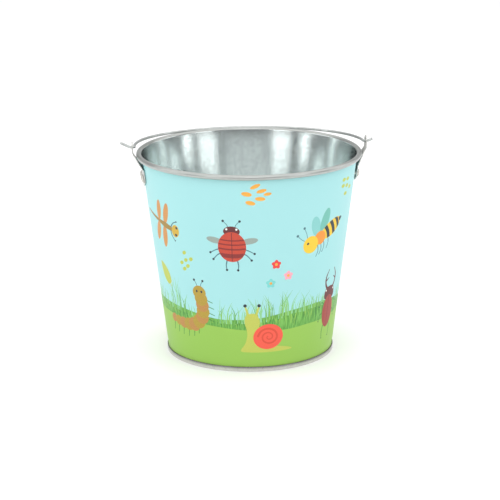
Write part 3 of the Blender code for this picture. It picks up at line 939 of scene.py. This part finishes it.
def ear_outline():
    """Front view of an ear, (sideways, height): a round tab on a neck that widens to a shield."""
    half = [
        (EAR_TAB_RADIUS, PIVOT_HEIGHT + EAR_TAB_RADIUS, 0.999 * EAR_TAB_RADIUS),
        (EAR_TAB_RADIUS, EAR_NECK, 6),
        (EAR_HALF_WIDTH, EAR_BEND + 1, 3),
        (EAR_HALF_WIDTH, EAR_BOTTOM + 6, 5),
    ]
    corners = half + [(0, EAR_BOTTOM, 8)] + [(-x, y, radius) for x, y, radius in reversed(half)]
    return rounded(corners, steps=12)


def pulled_in(outline, distance):
    """A closed outline moved inwards; its points run clockwise."""
    count = len(outline)
    inner = []
    for index, point in enumerate(outline):
        along = (outline[(index + 1) % count] - outline[index - 1]).normalized()
        inner.append(point + Vector((along.y, -along.x)) * distance)
    return inner


def clockwise(outline):
    return outline if twice_area(outline) < 0 else list(reversed(outline))


def rounded_plate(outline, holes, thickness, edge, spacing):
    """Plate with rounded edges and round holes: (across, up, out) points and faces."""
    rim = [here for here, after in zip(outline, outline[1:] + outline[:1]) if (here - after).length > 0.02]
    loops = [clockwise(rim)] + [clockwise(hole)[::-1] for hole in holes]
    flat, edges, regions = [], [], []
    for loop in loops:
        first = len(flat)
        flat += pulled_in(loop, edge)
        indices = list(range(first, len(flat)))
        edges += list(zip(indices, indices[1:] + indices[:1]))
        regions.append(indices)
    low = Vector((min(point.x for point in rim), min(point.y for point in rim)))
    high = Vector((max(point.x for point in rim), max(point.y for point in rim)))
    for row in range(1, int((high.y - low.y) / spacing)):
        for column in range(1, int((high.x - low.x) / spacing)):
            spot = low + Vector((column, row)) * spacing
            if all((spot - point).length > spacing * 0.5 for loop in loops for point in loop):
                flat.append(spot)
    regions[0].reverse()
    points, _, faces, _, _, origins = delaunay_2d_cdt(flat, edges, regions, 0, 1e-5)
    faces = [face for face, origin in zip(faces, origins) if list(origin) == [0]]
    half = thickness / 2
    count = len(points)
    vertices = [(point.x, point.y, side) for side in (half, -half) for point in points]
    mesh_faces = [tuple(face) for face in faces]
    mesh_faces += [tuple(count + index for index in reversed(face)) for face in faces]
    steps = 8
    for loop in loops:
        mesh_faces += ring_faces(len(vertices), steps + 1, len(loop))
        for step in range(steps + 1):
            turn = pi * step / steps
            depth = half - edge + edge * abs(cos(turn))
            side = (step < steps / 2) - (step > steps / 2)
            ring = pulled_in(loop, edge * (1 - sin(turn)))
            vertices += [(point.x, point.y, side * depth) for point in ring]
    return vertices, mesh_faces


def make_ear(name, side, lift):
    """A stamped ear with soft edges, bent from the flat plate."""
    path = ear_sheet(lift)
    heights = [spot.y for spot in path]

    def bent(across, up, out):
        index = min(max(bisect_right(heights, up), 1), len(path) - 1)
        before, after = path[index - 1], path[index]
        share = (up - before.y) / (after.y - before.y)
        middle = before.lerp(after, share)
        along = (after - before).normalized()
        spot = middle + Vector((along.y, -along.x)) * out
        return swung(spot.x * side, spot.y, asin(across / middle.x))

    places = [(0, PIVOT_HEIGHT, PIVOT_HOLE, 32)]
    places += [(x, RIVET_HEIGHT, RIVET_HOLE, 24) for x in (-RIVET_OFFSET, RIVET_OFFSET)]
    holes = [arc_points(x, y, radius, 0, 2 * pi, steps)[:-1] for x, y, radius, steps in places]
    plate, faces = rounded_plate(ear_outline(), holes, EAR_SHEET, edge=0.18, spacing=0.9)
    vertices = [bent(*point) for point in plate]
    add_piece(f"{name}_plate", "bucket", name, vertices, faces,
              wire_material(f"{name}_zinc", (204, 204, 200), 0.44))


def rivet_section(lift):
    """Section of a rivet, (radius, distance out from the wall)."""
    seat = GAP + lift + EAR_SHEET + GAP
    tail = -SHEET - GAP
    sphere = (RIVET_HEAD_RADIUS**2 + RIVET_HEAD_RISE**2) / (2 * RIVET_HEAD_RISE)
    middle = seat + RIVET_HEAD_RISE - sphere
    dome = arc_points(0, middle, sphere, pi / 2, asin((seat - middle) / sphere), 12)
    upset = [(2.6, 0), (2.5, 0.35), (2.05, 0.65), (1.6, 0.7), (0, 0.7)]
    stem = [Vector((RIVET_SHANK, seat)), Vector((RIVET_SHANK, tail))]
    return dome + stem + [Vector((radius, tail - depth)) for radius, depth in upset]


def make_rivets():
    swing = asin(RIVET_OFFSET / wall_radius(RIVET_HEIGHT))
    places = {"rivet_right_front": (-swing, RIGHT_EAR_LIFT), "rivet_right_back": (swing, RIGHT_EAR_LIFT),
              "rivet_left_front": (pi + swing, 0), "rivet_left_back": (pi - swing, 0)}
    metal = wire_material("rivet_zinc", (200, 198, 190), 0.3)
    for name, (angle, lift) in places.items():
        vertices, faces = turned(rivet_section(lift), steps=40)
        spot = Matrix.Translation(swung(wall_radius(RIVET_HEIGHT), RIVET_HEIGHT, angle))
        place = spot @ Matrix.Rotation(angle, 4, "Z") @ Matrix.Rotation(pi / 2 + TILT, 4, "Y")
        vertices = [place @ point for point in vertices]
        add_piece(f"{name}_head", "bucket", name, vertices, faces, metal)


def bail_path():
    """Centre line of the bail in its own plane, X along the pivot axis and Y towards the bow."""
    left = -EAR_TAB_REACH
    right = EAR_TAB_REACH + RIGHT_EAR_LIFT
    left_bow, right_bow = left + BOW_INSET, right - BOW_INSET
    middle, half_span = (left_bow + right_bow) / 2, (right_bow - left_bow) / 2
    angles = [pi * (1 - step / BOW_STEPS) for step in range(1, BOW_STEPS)]
    corners = [(LEFT_STUB[0], 0, LEFT_STUB[1], 0), (left - STUB_BEND, 0, 0, 3), (left_bow, 0, 0, 1.8)]
    corners += [(middle + half_span * cos(angle), BAIL_DEPTH * sin(angle), 0, 0) for angle in angles]
    corners += [(right_bow, 0, 0, 1.8), (right + STUB_BEND, 0, 0, 3), (RIGHT_STUB[0], 0, RIGHT_STUB[1], 0)]
    return rounded(corners, steps=8)


def tube(path, radius, sides):
    """Round wire along a 3D path, with slightly domed cut ends."""
    last = len(path) - 1
    along = [(path[min(i + 1, last)] - path[max(i - 1, 0)]).normalized() for i in range(last + 1)]
    side = along[0].cross(Vector((0, 1, 0))).normalized()
    rings = []
    for index, spot in enumerate(path):
        if index:
            side = (along[index - 1].rotation_difference(along[index]) @ side).normalized()
        up = along[index].cross(side)
        rings.append((spot, side.copy(), up, radius))
    ends = []
    for (spot, across, up, _), direction in ((rings[0], along[0]), (rings[-1], -along[-1])):
        ends.append([(spot + direction * radius * inset, across, up, radius * share)
                     for inset, share in ((0, 0.72), (0.1, 0.92), (0.3, 1))])
    rings = ends[0] + rings[1:-1] + ends[1][::-1]
    vertices = []
    for spot, across, up, reach in rings:
        vertices += [spot + (across * cos(angle) + up * sin(angle)) * reach for angle in full_turn(sides)]
    faces = [tuple(reversed(range(sides))), tuple(range(len(vertices) - sides, len(vertices)))]
    return vertices, faces + ring_faces(0, len(rings), sides)


def bail_rest_angle():
    """How far the bow hangs below level when its middle lies on the back of the rolled rim."""
    drop = PIVOT_HEIGHT - BEAD_Z
    to_bead = hypot(BEAD_X, drop)
    apart = BEAD_RADIUS + WIRE_RADIUS + GAP
    between = acos((BAIL_DEPTH**2 + to_bead**2 - apart**2) / (2 * BAIL_DEPTH * to_bead))
    return atan2(drop, BEAD_X) - between


def make_bail():
    vertices, faces = tube(bail_path(), WIRE_RADIUS - WIRE_SLACK, sides=20)
    place = Matrix.Translation((0, 0, PIVOT_HEIGHT)) @ Matrix.Rotation(-bail_rest_angle(), 4, "X")
    vertices = [place @ point for point in vertices]
    add_piece("bail_wire", "bail", "bail", vertices, faces,
              wire_material("bail_zinc", (184, 187, 185), 0.36))


def finish_rim_wire():
    """The wire inside the rolled rim keeps its own shape."""
    slots = frame["nodes"]["rim_wire"].material_slots
    slots[0].material = wire_material("rim_wire_zinc", (168, 172, 171), 0.38)


make_wall()
make_base()
make_ear("ear_right", 1, RIGHT_EAR_LIFT)
make_ear("ear_left", -1, 0)
make_rivets()
make_bail()
finish_rim_wire()


# ---------------- studio
def add_floor():
    bpy.ops.mesh.primitive_plane_add(size=12, location=(0, 0, 0))
    floor = bpy.context.object
    floor.name = "floor"
    nodes = Nodes("pale_floor")
    tone = nodes.noise(nodes.coordinates(), 3, 2)
    colour = nodes.mix(nodes.spread(tone, 0.3, 0.7, 0, 1), srgb(250, 250, 250), srgb(253, 253, 253))
    floor.data.materials.append(nodes.finish({"Base Color": colour}))


def add_light(name, kind, direction, power):
    """A light of a kind that shines in a direction."""
    data = bpy.data.lights.new(name, kind)
    data.energy = power
    light = bpy.data.objects.new(name, data)
    light.rotation_euler = Vector(direction).to_track_quat("-Z", "Y").to_euler()
    scene.collection.objects.link(light)
    return light


def add_softbox(name, bearing, elevation, distance, size, brightness):
    """Soft light box standing at a bearing from the back of the bucket, facing the rim."""
    swing = radians(bearing)
    rise = radians(elevation)
    rim = Vector((0, 0, HEIGHT * 0.8 * MM))
    away = Vector((sin(swing) * cos(rise), cos(swing) * cos(rise), sin(rise))) * distance
    light = add_light(name, "AREA", -away, pi * size[0] * size[1] * brightness)
    light.location = rim + away
    light.data.shape = "RECTANGLE"
    light.data.size, light.data.size_y = size


def add_studio():
    world = bpy.data.worlds.new("studio")
    world.use_nodes = True
    background = world.node_tree.nodes["Background"]
    background.inputs["Color"].default_value = (0.97, 0.98, 1, 1)
    background.inputs["Strength"].default_value = 0.23
    scene.world = world
    add_light("ceiling", "SUN", (0, 0.05, -1), 2.9).data.angle = radians(120)
    add_softbox("left_box", -87, 16, 1.2, (0.9, 0.55), 1.5)
    add_softbox("right_box", 78, 16, 1.2, (0.85, 0.55), 1.5)
    add_softbox("front_left_box", -137, 17, 1.6, (0.62, 0.7), 2)
    add_softbox("front_right_box", 133, 17, 1.6, (0.62, 0.7), 2)
    add_softbox("back_box", 0, 15, 1.5, (4, 0.5), 0.58)
    add_softbox("camera_box", 180, 38, 1.9, (0.8, 0.6), 2)


def add_camera():
    distance, azimuth, elevation, roll = 1.5, radians(-5.9), radians(15.405), radians(0.342)
    focus = Vector((0, 0, HEIGHT / 2 * MM))
    away = Vector((sin(azimuth) * cos(elevation), -cos(azimuth) * cos(elevation), sin(elevation)))
    data = bpy.data.cameras.new("camera")
    data.sensor_width = 36
    data.lens = 145.8
    data.shift_x = 0.00085
    data.shift_y = -0.00225
    camera = bpy.data.objects.new("camera", data)
    camera.location = focus + away * distance
    level = (-away).to_track_quat("-Z", "Y")
    camera.rotation_euler = (level @ Matrix.Rotation(-roll, 3, "Z").to_quaternion()).to_euler()
    scene.collection.objects.link(camera)
    scene.camera = camera


add_floor()
add_studio()
add_camera()
scene.view_settings.view_transform = "Standard"
